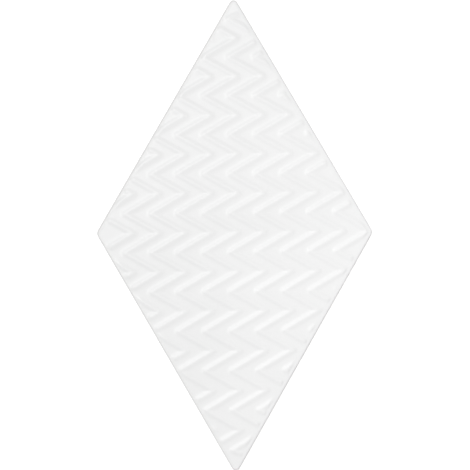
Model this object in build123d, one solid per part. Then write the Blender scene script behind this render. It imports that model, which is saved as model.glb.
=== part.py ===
"""Glazed rhombus wall tile with a raised zigzag relief, one fired piece.

Frame: origin at the middle of the back face, +Z out of the glazed face,
+Y along the long diagonal, +X along the short diagonal. Millimetres.
"""
from build123d import *
import os
from math import sqrt, tan, sin, cos, radians

# ---------------------------------------------------------------- dimensions
LENGTH = 240.0          # tip to tip over the rounded acute corners, along Y
WIDTH = 140.0           # across the rounded obtuse corners, along X
ACUTE = 60.0            # corner angle at the two long tips, degrees
R_ACUTE = 2.2           # corner radius at the two long tips
BODY = 8.4              # back face to the flat of the glazed face
R_RIM = 1.2             # rounded glaze edge round the face
BACK_CHAMFER = 0.5      # broken edge round the back

RELIEF = 0.6            # height of the zigzag beads above the flat
PERIOD = 19.98          # one whole zigzag, along Y
ARM = 30.0              # slope of the arms from the short diagonal, degrees
PITCH = 13.42           # bead to bead, along X
TIP_X = 1.95            # a right-hand tip near the middle of the face
TIP_Y = 0.13
SKEW = 0.42             # the relief sits turned this much anticlockwise, degrees
BEAD_BASE = 2.5         # half width of a bead at the flat, square to the arm
BEAD_CROWN = 0.5        # half width of its crown
FADE_LOW = 1.7          # edge to the foot of the beads' ends
FADE_HIGH = 3.3         # edge to the full height of the beads' ends
SINK = 0.2              # how far the bead solids reach into the body
FIRST_BEAD = -4         # bead numbers, counted from the one at TIP_X
LAST_BEAD = 6
LEAST_STUB = 3.8        # smaller clippings of a bead aren't pressed, mm3

# ------------------------------------------------------------------- outline
half_angle = radians(ACUTE / 2)
virtual_length = LENGTH + 2 * (R_ACUTE / sin(half_angle) - R_ACUTE)
virtual_width = virtual_length * tan(half_angle)
R_OBTUSE = (virtual_width - WIDTH) / 2 / (1 / cos(half_angle) - 1)
side = virtual_width / 2 / sin(half_angle)


def rhombus(inset):
    """Sharp-cornered rhombus, its sides moved in by inset: four points."""
    y = virtual_length / 2 - inset / sin(half_angle)
    x = virtual_width / 2 - inset / cos(half_angle)
    return [(x, 0), (0, y), (-x, 0), (0, -y)]


def plane_face(points):
    return Face(Wire.make_polygon([Vector(*p) for p in points], close=True))


def closed_solid(faces):
    return Solid(Shell(faces))


# ---------------------------------------------------------------------- body
sketch = make_face(Polyline(*rhombus(0.0), close=True))
body = extrude(sketch, amount=BODY)
upright = body.edges().filter_by(Axis.Z)
tips = upright.filter_by(lambda e: abs(e.center().X) < 1.0)
flanks = upright.filter_by(lambda e: abs(e.center().Y) < 1.0)
body = fillet(tips, R_ACUTE)
flanks = body.edges().filter_by(Axis.Z).filter_by(
    lambda e: abs(e.center().Y) < 1.0 and abs(e.center().X) > WIDTH / 4)
body = fillet(flanks, R_OBTUSE)
body = fillet(body.faces().sort_by(Axis.Z)[-1].edges(), R_RIM)
body = chamfer(body.faces().sort_by(Axis.Z)[0].edges(), BACK_CHAMFER)

# -------------------------------------------------------------------- relief
# The bead ends stop on a sloping rhombus inside the edge of the face.
slope = (FADE_HIGH - FADE_LOW) / RELIEF
low = rhombus(FADE_LOW - SINK * slope)
high = rhombus(FADE_HIGH + 0.5 * slope)
z_low, z_high = BODY - SINK, BODY + RELIEF + 0.5
z_crown = BODY + RELIEF
foot = [(x, y, z_low) for x, y in low]
head = [(x, y, z_high) for x, y in high]
window = closed_solid(
    [plane_face(foot), plane_face(head)]
    + [plane_face([foot[i], foot[(i + 1) % 4], head[(i + 1) % 4], head[i]])
       for i in range(4)])

reach = PERIOD / 2 / tan(radians(ARM))          # tip to tip across one arm
flare = (BEAD_BASE - BEAD_CROWN) / RELIEF
half_low = (BEAD_BASE + SINK * flare) / sin(radians(ARM))
half_high = BEAD_CROWN / sin(radians(ARM))
rows = int(LENGTH / PERIOD) + 2


def bead(x_tip):
    """One zigzag bead, its right-hand tips on x_tip, as a closed solid."""
    crest = []
    for n in range(-rows, rows + 1):
        crest.append((x_tip if n % 2 == 0 else x_tip - reach,
                      TIP_Y + n * PERIOD / 2))
    turn, slant = cos(radians(SKEW)), sin(radians(SKEW))
    lines = []
    for shift, z in ((-half_low, z_low), (-half_high, z_crown),
                     (half_high, z_crown), (half_low, z_low)):
        lines.append([((x + shift) * turn - y * slant,
                       (x + shift) * slant + y * turn, z) for x, y in crest])
    faces = []
    for a, b in zip(lines, lines[1:] + lines[:1]):
        for i in range(len(crest) - 1):
            faces.append(plane_face([a[i], b[i], b[i + 1], a[i + 1]]))
    faces.append(plane_face([line[0] for line in lines]))
    faces.append(plane_face([line[-1] for line in lines]))
    return closed_solid(faces)


beads = []
for k in range(FIRST_BEAD, LAST_BEAD + 1):
    cut = bead(TIP_X + k * PITCH) & window
    if cut is None:
        continue
    beads += [s for s in (cut.solids() if hasattr(cut, "solids") else cut)
              if s.volume > LEAST_STUB]

tile = body.fuse(*beads)
solids = tile.solids()
print("side", round(side, 2), "obtuse corner radius", round(R_OBTUSE, 2))
print("bead pieces", len(beads), "solids", len(solids),
      "faces", len(tile.faces()), "volume", round(tile.volume, 1))

os.makedirs("parts", exist_ok=True)
tile = solids[0]
tile.label = "tile"
export_step(tile, "parts/tile.step")
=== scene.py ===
"""Looks of a glazed rhombus wall tile with a raised zigzag relief.

Metres, in the row frame: origin at the middle of the back face, +Z out of the
glazed face, +Y along the long diagonal.
"""
import math

import bpy
import numpy as np
from mathutils import Matrix, Vector


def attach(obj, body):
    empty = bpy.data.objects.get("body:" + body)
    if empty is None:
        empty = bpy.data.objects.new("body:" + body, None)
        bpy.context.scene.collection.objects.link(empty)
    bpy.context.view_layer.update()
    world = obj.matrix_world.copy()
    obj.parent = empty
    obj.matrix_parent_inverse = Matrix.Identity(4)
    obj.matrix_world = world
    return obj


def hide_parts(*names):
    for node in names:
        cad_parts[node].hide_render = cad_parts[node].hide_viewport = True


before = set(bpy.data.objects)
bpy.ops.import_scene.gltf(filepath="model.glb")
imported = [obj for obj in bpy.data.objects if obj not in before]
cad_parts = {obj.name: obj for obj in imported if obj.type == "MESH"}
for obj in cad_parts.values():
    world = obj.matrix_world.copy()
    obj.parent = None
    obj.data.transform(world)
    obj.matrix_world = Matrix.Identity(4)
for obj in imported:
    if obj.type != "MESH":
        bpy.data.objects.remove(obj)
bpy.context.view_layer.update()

# ------------------------------------------------------------ sizes, in mm
LENGTH, WIDTH = 240.0, 140.0        # over the rounded corners
ACUTE = math.radians(60.0)
R_ACUTE = 2.2
BODY = 8.4                          # back to the flat of the face
R_RIM = 1.2                         # rounded glaze edge
CUSHION = 0.02                      # the face eases down towards its edge
CUSHION_REACH = 3.2
CHAMFER = 0.5                       # broken edge round the back
RELIEF = 0.6                        # crest above the flat
PERIOD, PITCH, ARM = 19.98, 13.42, math.radians(30.0)
TIP_X, TIP_Y = 1.95, 0.13
SKEW = math.radians(0.42)           # the relief sits this much anticlockwise
FIRST_BEAD, LAST_BEAD = -4, 6
SIGMA = 1.04                        # bead's bell-shaped section
FADE = (1.6, 3.4)                   # beads sink into the flat over this inset
LEFT_FADE = (1.0, 3.2)              # they run closer to the left sides
TIP_FADE = (114.5, 110.5)           # and towards the long tips, by |Y|
STRIP = 4.0                         # width of the meshed border strip
CELLS = 268                         # face grid cells along a side
GLAZE_LINE = 5.3                    # glaze runs down the sides to about here
LIP = 0.12                          # thickness of the glaze's lower lip
PAINTED_EDGE_SHADE = (0.58, 0.13)                 # painted shade on the glaze near the left sides
PAINTED_EDGE_SHADE_REACH = (1.1, 2.5)             # fully to here, gone from there inwards

half = ACUTE / 2
V_LENGTH = LENGTH + 2 * (R_ACUTE / math.sin(half) - R_ACUTE)
V_WIDTH = V_LENGTH * math.tan(half)
R_OBTUSE = (V_WIDTH - WIDTH) / 2 / (1 / math.cos(half) - 1)
REACH = PERIOD / 2 / math.tan(ARM)


# ----------------------------------------------------------- tile surface
def edge_distance(x, y):
    """Distance inside the rounded outline, mm (positive inside)."""
    ax, ay = np.abs(x), np.abs(y)
    # signed distance to the straight side in the first quadrant
    nx, ny = math.cos(half), math.sin(half)
    d = (V_WIDTH / 2) * nx - (ax * nx + ay * ny)
    # acute corner: arc centre on the Y axis
    cy = V_LENGTH / 2 - R_ACUTE / math.sin(half)
    past = (ay - cy) * nx - ax * ny > 0
    d = np.where(past, R_ACUTE - np.hypot(ax, ay - cy), d)
    # obtuse corner: arc centre on the X axis
    cx = V_WIDTH / 2 - R_OBTUSE / math.cos(half)
    past = (ax - cx) * ny - ay * nx > 0
    return np.where(past, R_OBTUSE - np.hypot(ax - cx, ay), d)


def smooth(a, b, v):
    t = np.clip((v - a) / (b - a), 0, 1)
    return t * t * (3 - 2 * t)


def relief(x, y):
    """Height of the zigzag beads above the flat, mm, before they fade."""
    x, y = (x * math.cos(SKEW) + y * math.sin(SKEW),
            y * math.cos(SKEW) - x * math.sin(SKEW))
    row = (y - TIP_Y) / (PERIOD / 2)
    n = np.floor(row)
    f = row - n
    even = np.mod(n, 2) == 0
    crest = np.where(even, TIP_X - REACH * f, TIP_X - REACH * (1 - f))
    k = np.clip(np.round((x - crest) / PITCH), FIRST_BEAD, LAST_BEAD)
    total = np.zeros_like(x)
    for step in (-1, 0, 1):
        kk = k + step
        ok = (kk >= FIRST_BEAD) & (kk <= LAST_BEAD)
        # distance to the nearest of the three arms around this row
        best = np.full_like(x, 1e9)
        for m in (-1, 0, 1):
            nm = n + m
            em = np.mod(nm, 2) == 0
            x0 = np.where(em, TIP_X, TIP_X - REACH) + kk * PITCH
            x1 = np.where(em, TIP_X - REACH, TIP_X) + kk * PITCH
            y0 = TIP_Y + nm * PERIOD / 2
            ex, ey = x1 - x0, PERIOD / 2
            t = np.clip(((x - x0) * ex + (y - y0) * ey)
                        / (ex * ex + ey * ey), 0, 1)
            best = np.minimum(best, np.hypot(x - x0 - t * ex,
                                             y - y0 - t * ey))
        total = total + np.where(ok, np.exp(-best ** 2 / (2 * SIGMA ** 2)), 0)
    return RELIEF * total


def height(x, y):
    d = edge_distance(x, y)
    start = np.where(x < 0, LEFT_FADE[0], FADE[0])
    full = np.where(x < 0, LEFT_FADE[1], FADE[1])
    fade = smooth(start, full, d) * smooth(*TIP_FADE, np.abs(y))
    z = BODY + relief(x, y) * fade
    z = z - CUSHION * np.clip(1 - d / CUSHION_REACH, 0, 1) ** 2
    r = np.clip(R_RIM - d, 0, R_RIM)
    return z - R_RIM + np.sqrt(np.maximum(R_RIM ** 2 - r ** 2, 0))


def painted_edge_shade_at(x, y):
    """Painted shade on the glaze near the edge, 0 to 1: most along the upper
    left side, a little along the lower left one, and down the glazed sides
    there."""
    nx, ny = math.cos(half), math.sin(half)
    upper = (V_WIDTH / 2) * nx + nx * x - ny * y
    lower = (V_WIDTH / 2) * nx + nx * x + ny * y
    return (PAINTED_EDGE_SHADE[0] * smooth(PAINTED_EDGE_SHADE_REACH[1], PAINTED_EDGE_SHADE_REACH[0], upper)
            + PAINTED_EDGE_SHADE[1] * smooth(PAINTED_EDGE_SHADE_REACH[1], PAINTED_EDGE_SHADE_REACH[0], lower))


def outline(count):
    """Points of the rounded outline side by side, count + 1 for each side,
    from the middle of one corner's arc to the middle of the next."""
    sides = []
    top = np.array([0, V_LENGTH / 2 - R_ACUTE / math.sin(half)])
    right = np.array([V_WIDTH / 2 - R_OBTUSE / math.cos(half), 0])
    n = np.array([math.cos(half), math.sin(half)])
    a, b = right + R_OBTUSE * n, top + R_ACUTE * n
    arc0, arc1 = R_OBTUSE * half, R_ACUTE * (math.pi / 2 - half)
    run = np.hypot(*(b - a))
    s = np.linspace(0, arc0 + run + arc1, count + 1)
    p = np.zeros((count + 1, 2))
    for i, v in enumerate(s):
        if v < arc0:
            t = v / R_OBTUSE
            p[i] = right + R_OBTUSE * np.array([math.cos(t), math.sin(t)])
        elif v <= arc0 + run:
            p[i] = a + (b - a) * (v - arc0) / run
        else:
            t = half + (v - arc0 - run) / R_ACUTE
            p[i] = top + R_ACUTE * np.array([math.cos(t), math.sin(t)])
    for q, (sx, sy, flip) in enumerate(((1, 1, 0), (-1, 1, 1),
                                        (-1, -1, 0), (1, -1, 1))):
        side = p * (sx, sy)
        sides.append(side[::-1] if flip else side)
    return sides  # right>top, top>left, left>bottom, bottom>right


def glaze_line(count):
    """Uneven height of the glaze's lower edge round the tile, mm."""
    rng = np.random.default_rng(41)
    t = np.arange(count) / count * 2 * math.pi
    line = np.full(count, GLAZE_LINE)
    for waves, size in ((3, 0.16), (7, 0.14), (17, 0.13), (31, 0.10),
                        (59, 0.07), (97, 0.05), (151, 0.03)):
        for w in (waves, waves + 1 + waves // 5):
            line = line + size * 0.7 * np.sin(w * t + rng.uniform(0, 6.28))
    return line


def build_tile():
    n = CELLS
    inner_y = V_LENGTH / 2 - STRIP / math.sin(half)
    inner_x = V_WIDTH / 2 - STRIP / math.cos(half)
    right, top = np.array([inner_x, 0.0]), np.array([0.0, inner_y])
    left, bottom = -right, -top
    t = np.linspace(0, 1, n + 1)
    i, j = np.meshgrid(t, t, indexing="ij")
    grid = (bottom + i[..., None] * (right - bottom)
            + j[..., None] * (left - bottom))
    index = np.arange((n + 1) ** 2).reshape(n + 1, n + 1)
    verts = [np.column_stack([grid.reshape(-1, 2),
                              height(grid[..., 0].ravel(),
                                     grid[..., 1].ravel())])]
    faces = [np.stack([index[:-1, :-1], index[1:, :-1],
                       index[1:, 1:], index[:-1, 1:]], -1).reshape(-1, 4)]
    # loop round the grid, anticlockwise seen from above, from the right corner
    loop = np.concatenate([index[n, :-1], index[n:0:-1, n],
                           index[0, n:0:-1], index[:-1, 0]])
    # inner loop runs right>top>left>bottom
    inner = grid.reshape(-1, 2)[loop]
    outer = np.concatenate([s[:-1] for s in outline(n)])
    m = len(loop)
    base = len(verts[0])
    prev = loop

    def ring(inset, z):
        nonlocal base, prev
        p = outer + (inner - outer) * (inset / STRIP)
        verts.append(np.column_stack([p, np.broadcast_to(z, m)]))
        new = np.arange(base, base + m)
        base += m
        faces.append(np.stack([prev, new, np.roll(new, -1),
                               np.roll(prev, -1)], -1))
        prev = new

    # rings from the grid out to the edge and over its rounding
    insets = list(np.linspace(STRIP, R_RIM, 7)[1:])
    insets += [R_RIM * (1 - math.cos(math.radians(a)))
               for a in (72, 56, 42, 28, 14, 0)]
    for d in insets:
        p = outer + (inner - outer) * (d / STRIP)
        z = height(p[:, 0], p[:, 1])
        ring(d, z if d > 0 else BODY - R_RIM - CUSHION)
    # glazed part of the sides, the glaze's lip, then the bare clay
    line = glaze_line(m)
    ring(0, line + 0.30)
    ring(0.02, line + 0.10)
    ring(LIP * 0.6, line)
    glaze_faces = sum(len(f) for f in faces)
    ring(LIP, line - 0.12)
    ring(LIP, line - 0.45)
    ring(LIP, 2.2)
    ring(LIP, CHAMFER)
    side_faces = sum(len(f) for f in faces)
    # broken edge, then the flat back
    ring(CHAMFER + LIP, 0.0)
    verts = np.concatenate(verts) * 0.001
    quads = np.concatenate(faces)
    mesh = bpy.data.meshes.new("tile_glazed")
    polys = [tuple(int(v) for v in q) for q in quads]
    polys.append(tuple(int(v) for v in prev[::-1]))
    mesh.from_pydata([tuple(map(float, v)) for v in verts], [], polys)
    # painted shade along the left sides, stored per point for the glaze
    painted_edge_shade = mesh.attributes.new("painted_edge_shade", "FLOAT", "POINT")
    painted_edge_shade.data.foreach_set("value", painted_edge_shade_at(
        verts[:, 0] * 1000, verts[:, 1] * 1000).astype(np.float32))
    mesh.update()
    for k, p in enumerate(mesh.polygons):
        p.use_smooth = k < side_faces
        p.material_index = 0 if k < glaze_faces else 1
    mesh.validate()
    obj = bpy.data.objects.new("tile_glazed", mesh)
    bpy.context.scene.collection.objects.link(obj)
    return obj


# -------------------------------------------------------------- materials
class Nodes:
    """Short way to write a material's nodes."""

    def __init__(self, name):
        self.mat = bpy.data.materials.new(name)
        self.mat.use_nodes = True
        self.nt = self.mat.node_tree
        self.bsdf = next(n for n in self.nt.nodes
                         if n.type == "BSDF_PRINCIPLED")
        self.at = self.new("ShaderNodeTexCoord").outputs["Object"]

    def new(self, kind, **props):
        node = self.nt.nodes.new(kind)
        for key, value in props.items():
            setattr(node, key, value)
        return node

    def link(self, a, b):
        self.nt.links.new(a, b)

    def noise(self, scale, detail=2.0, rough=0.5):
        n = self.new("ShaderNodeTexNoise")
        n.inputs["Scale"].default_value = scale
        n.inputs["Detail"].default_value = detail
        n.inputs["Roughness"].default_value = rough
        self.link(self.at, n.inputs["Vector"])
        return n.outputs["Fac"]

    def ramp(self, fac, stops):
        r = self.new("ShaderNodeValToRGB")
        els = r.color_ramp.elements
        while len(els) < len(stops):
            els.new(0.5)
        for el, (pos, col) in zip(els, stops):
            el.position = pos
            el.color = (*col, 1) if len(col) == 3 else col
        self.link(fac, r.inputs["Fac"])
        return r.outputs["Color"]

    def spread(self, fac, lo, hi, a=0.3, b=0.7):
        m = self.new("ShaderNodeMapRange")
        m.inputs["From Min"].default_value = a
        m.inputs["From Max"].default_value = b
        m.inputs["To Min"].default_value = lo
        m.inputs["To Max"].default_value = hi
        self.link(fac, m.inputs["Value"])
        return m.outputs["Result"]

    def mix(self, fac, a, b, kind="MIX"):
        m = self.new("ShaderNodeMix", data_type="RGBA", blend_type=kind)
        for value, socket in ((fac, m.inputs[0]), (a, m.inputs[6]),
                              (b, m.inputs[7])):
            if hasattr(value, "is_output"):
                self.link(value, socket)
            else:
                socket.default_value = value
        return m.outputs[2]

    def bump(self, height, distance, strength=1.0, under=None):
        b = self.new("ShaderNodeBump")
        b.inputs["Distance"].default_value = distance
        b.inputs["Strength"].default_value = strength
        self.link(height, b.inputs["Height"])
        if under is not None:
            self.link(under, b.inputs["Normal"])
        return b.outputs["Normal"]


def white_glaze():
    """Fired white gloss glaze: even tone, a trace of mottling and waviness, and
    painted shade along the left sides.
    """
    g = Nodes("white_glaze")
    cloud = g.noise(22.0, 3.0, 0.55)
    fleck = g.noise(900.0, 2.0, 0.5)
    tone = g.ramp(cloud, ((0.30, (0.792, 0.793, 0.792)),
                          (0.70, (0.808, 0.808, 0.808))))
    tone = g.mix(g.spread(fleck, 0.0, 0.25, 0.62, 0.74), tone,
                 (0.785, 0.785, 0.783, 1.0))
    # painted shade: the glaze's colour darkened to grey along the upper left and
    # lower left sides
    painted_edge_shade = g.new("ShaderNodeAttribute", attribute_name="painted_edge_shade")
    tone = g.mix(painted_edge_shade.outputs["Fac"], tone, (0.70, 0.698, 0.694, 1.0))
    g.link(tone, g.bsdf.inputs["Base Color"])
    g.link(g.spread(g.noise(60.0, 2.0), ROUGH - 0.02, ROUGH + 0.02),
           g.bsdf.inputs["Roughness"])
    g.bsdf.inputs["IOR"].default_value = 1.52
    wave = g.bump(g.noise(140.0, 1.0), 0.00006)
    g.link(g.bump(g.noise(420.0, 1.0), 0.000012, 1.0, wave),
           g.bsdf.inputs["Normal"])
    return g.mat


def bare_clay():
    """Unglazed fired body: pale, matt, fine-grained, with a few specks."""
    c = Nodes("bare_clay")
    cloud = c.noise(35.0, 4.0, 0.6)
    grain = c.noise(2600.0, 3.0, 0.65)
    tone = c.ramp(cloud, ((0.30, (0.660, 0.618, 0.548)),
                          (0.70, (0.735, 0.697, 0.630))))
    tone = c.mix(c.spread(grain, 0.0, 0.35, 0.45, 0.75), tone,
                 (0.545, 0.500, 0.430, 1.0))
    tone = c.mix(c.spread(c.noise(1500.0, 1.0), 0.0, 0.55, 0.72, 0.80), tone,
                 (0.300, 0.255, 0.205, 1.0))
    c.link(tone, c.bsdf.inputs["Base Color"])
    c.bsdf.inputs["Roughness"].default_value = 0.9
    c.bsdf.inputs["Specular IOR Level"].default_value = 0.3
    coarse = c.bump(c.noise(700.0, 3.0, 0.6), 0.00020)
    c.link(c.bump(grain, 0.00008, 1.0, coarse), c.bsdf.inputs["Normal"])
    return c.mat


def floor_paint(name, tone, glow):
    """Plain matt paint that may shine a little of its own."""
    f = Nodes(name)
    f.link(f.ramp(f.noise(3.0, 3.0), ((0.3, (tone - 0.005,) * 3),
                                      (0.7, (tone + 0.005,) * 3))),
           f.bsdf.inputs["Base Color"])
    f.bsdf.inputs["Roughness"].default_value = 0.9
    f.bsdf.inputs["Specular IOR Level"].default_value = 0.1
    f.bsdf.inputs["Emission Color"].default_value = (1, 1, 1, 1)
    f.bsdf.inputs["Emission Strength"].default_value = glow
    return f.mat


ROUGH = 0.14
FLOOR_TONE, FLOOR_GLOW = 0.9, 0.50  # the floor as it is seen
UNDER_TONE = 0.60                   # the floor as it lights the tile
LOW_SKY = 0.44                      # surround near the horizon
LEVEL = 1.135                       # brightness of the whole light set-up

# ------------------------------------------------------------------ object
tile = build_tile()
tile.data.materials.append(white_glaze())
tile.data.materials.append(bare_clay())
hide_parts("tile")
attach(tile, "root")

# ------------------------------------------------------------------- floor
def stage_mesh(name, points, faces, paint, seen):
    """Part of the room: either seen by the camera only, or never seen."""
    mesh = bpy.data.meshes.new(name)
    mesh.from_pydata(points, [], faces)
    obj = bpy.data.objects.new(name, mesh)
    obj.data.materials.append(paint)
    bpy.context.scene.collection.objects.link(obj)
    obj.visible_camera = seen
    obj.visible_diffuse = obj.visible_glossy = obj.visible_shadow = not seen
    obj.visible_transmission = not seen


def disc(reach, z):
    """Round sheet of that reach, as points and one face."""
    steps = [2 * math.pi * i / 96 for i in range(96)]
    return ([(reach * math.cos(a), reach * math.sin(a), z) for a in steps],
            [tuple(range(96))])


points, faces = disc(6.0, 0.0)
stage_mesh("floor", points, faces,
           floor_paint("pale_floor", FLOOR_TONE, FLOOR_GLOW), True)
stage_mesh("floor_light", disc(6.0, -0.0003)[0], faces,
           floor_paint("soft_floor", UNDER_TONE, 0.0), False)
# pale paper all round behind the floor
wall = points + disc(6.0, 5.0)[0]
stage_mesh("backdrop", wall,
           [(i, (i + 1) % 96, 96 + (i + 1) % 96, 96 + i) for i in range(96)],
           floor_paint("pale_paper", 0.85, 0.45), True)


# ------------------------------------------------------------------ lights
def bump_level(size, blur, t):
    """Level at t from the middle of a strip of that size with blurred edges."""
    return (1 / (1 + math.exp(-(size / 2 - t) / blur))
            - 1 / (1 + math.exp((size / 2 + t) / blur)))


def soft_card(name, at, size, turn, glow, blur):
    """Area light facing the origin, brightest in its middle and fading out
    smoothly. glow is the radiance that it would have with sharp edges; turn
    rolls its long side about its own facing, radians.
    """
    nt_sizes = []
    for length in size:
        reach = length / 2 + 2.9 * blur
        start = max(length / 2 - 2.9 * blur, 0.0)
        nt_sizes.append((2 * reach, start / reach,
                         bump_level(length, blur, 0.0)))
    (w, w0, wl), (h, h0, hl) = nt_sizes
    data = bpy.data.lights.new(name, "AREA")
    data.shape = "RECTANGLE"
    data.size, data.size_y = w, h
    data.energy = LEVEL * glow * wl * hl * math.pi * w * h
    data.use_nodes = True
    nt = data.node_tree
    emission = next(n for n in nt.nodes if n.type == "EMISSION")
    geo = nt.nodes.new("ShaderNodeNewGeometry")
    parts = nt.nodes.new("ShaderNodeSeparateXYZ")
    nt.links.new(geo.outputs["Parametric"], parts.inputs[0])
    levels = []
    for axis, first in ((0, w0), (1, h0)):
        off = nt.nodes.new("ShaderNodeMath")
        off.operation = "SUBTRACT"
        off.inputs[1].default_value = 0.5
        nt.links.new(parts.outputs[axis], off.inputs[0])
        size_of = nt.nodes.new("ShaderNodeMath")
        size_of.operation = "ABSOLUTE"
        nt.links.new(off.outputs[0], size_of.inputs[0])
        fall = nt.nodes.new("ShaderNodeMapRange")
        fall.interpolation_type = "SMOOTHSTEP"
        fall.inputs["From Min"].default_value = 0.5 * first
        fall.inputs["From Max"].default_value = 0.5
        fall.inputs["To Min"].default_value = 1.0
        fall.inputs["To Max"].default_value = 0.0
        nt.links.new(size_of.outputs[0], fall.inputs["Value"])
        levels.append(fall.outputs["Result"])
    both = nt.nodes.new("ShaderNodeMath")
    both.operation = "MULTIPLY"
    nt.links.new(levels[0], both.inputs[0])
    nt.links.new(levels[1], both.inputs[1])
    nt.links.new(both.outputs[0], emission.inputs["Strength"])
    obj = bpy.data.objects.new(name, data)
    c = Vector(at)
    n = -c.normalized()
    u = Vector((0, 1, 0)).cross(n).normalized()
    v = n.cross(u)
    a = math.cos(turn) * u + math.sin(turn) * v
    obj.location = c
    obj.rotation_mode = "QUATERNION"
    # the light shines along its own -Z
    obj.rotation_quaternion = Matrix(
        (a, (-n).cross(a), -n)).transposed().to_quaternion()
    obj.visible_camera = False
    bpy.context.scene.collection.objects.link(obj)
    return obj


soft_card("key", (-0.366, 0.238, 1.098), (1.005, 0.517), -1.04, 2.155, 0.0945)
soft_card("fill", (0.124, -0.0165, 0.258), (0.643, 0.046), -1.36, 4.879,
          0.0861)

world = bpy.data.worlds.new("studio")
world.use_nodes = True
nt = world.node_tree
back = nt.nodes["Background"]
back.inputs["Color"].default_value = (1, 1, 1, 1)
way = nt.nodes.new("ShaderNodeTexCoord")
lean = nt.nodes.new("ShaderNodeVectorMath")
lean.operation = "DOT_PRODUCT"
lean.inputs[1].default_value = (-0.280 * LEVEL, 0.063 * LEVEL, 0.0)
nt.links.new(way.outputs["Generated"], lean.inputs[0])
level = nt.nodes.new("ShaderNodeMath")
level.inputs[1].default_value = 0.606 * LEVEL
nt.links.new(lean.outputs["Value"], level.inputs[0])
up = nt.nodes.new("ShaderNodeSeparateXYZ")
nt.links.new(way.outputs["Generated"], up.inputs[0])
low = nt.nodes.new("ShaderNodeMapRange")
low.interpolation_type = "SMOOTHSTEP"
low.inputs["From Min"].default_value = 0.05
low.inputs["From Max"].default_value = 0.55
low.inputs["To Min"].default_value = LOW_SKY * LEVEL
nt.links.new(level.outputs[0], low.inputs["To Max"])
nt.links.new(up.outputs["Z"], low.inputs["Value"])
nt.links.new(low.outputs["Result"], back.inputs["Strength"])
bpy.context.scene.world = world
bpy.context.scene.view_settings.view_transform = "Standard"

# ------------------------------------------------------------------ camera
cam_data = bpy.data.cameras.new("camera")
cam_data.sensor_width = 36.0
cam_data.lens = 105.4
cam_data.clip_start, cam_data.clip_end = 0.05, 50.0
cam = bpy.data.objects.new("camera", cam_data)
bpy.context.scene.collection.objects.link(cam)
tx, ty, roll = math.radians(-3.87), math.radians(0.25), math.radians(0.30)
turn = (Matrix.Rotation(roll, 3, "Z") @ Matrix.Rotation(tx, 3, "X")
        @ Matrix.Rotation(ty, 3, "Y"))
cam.rotation_mode = "QUATERNION"
cam.rotation_quaternion = turn.transposed().to_quaternion()
cam.location = turn.transposed() @ Vector((0, 0, 0.700)) + Vector((0, 0, 0.0078))
cam_data.shift_x = 0.36 / 470
cam_data.shift_y = -2.47 / 470
bpy.context.scene.camera = cam
